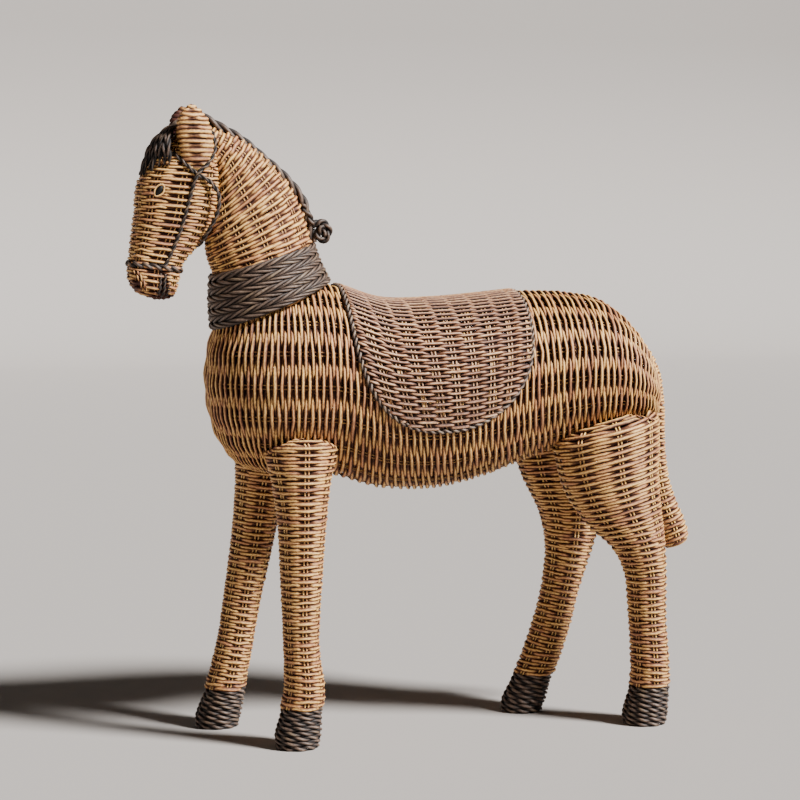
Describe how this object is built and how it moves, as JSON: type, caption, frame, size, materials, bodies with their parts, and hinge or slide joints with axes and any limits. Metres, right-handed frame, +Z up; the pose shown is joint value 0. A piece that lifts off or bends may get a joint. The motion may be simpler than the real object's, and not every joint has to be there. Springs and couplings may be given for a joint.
{
  "type": "standing horse statue",
  "caption": "Standing horse cast in resin as woven rattan, with a rope collar, rope hooves, a saddle cloth, a corded bridle and a roped mane.",
  "frame": {"origin": "on the table, at the middle of the statue's bounding box in X and Y", "axes": "+Z up; the head points along -X and the tail along +X; the near (left) side faces -Y"},
  "size_m": [0.3667, 0.1108, 0.394],
  "materials": {
    "straw_resin": "painted polyresin in straw tones with a dark brown wash in the hollows, satin",
    "rope_resin": "painted polyresin in grey-brown rope tones with near-black hollows, satin",
    "eye_paint": "near-black gloss paint on the eyes"
  },
  "bodies": {
    "root": {"horse_statue": "straw_resin"}
  },
  "joints": []
}
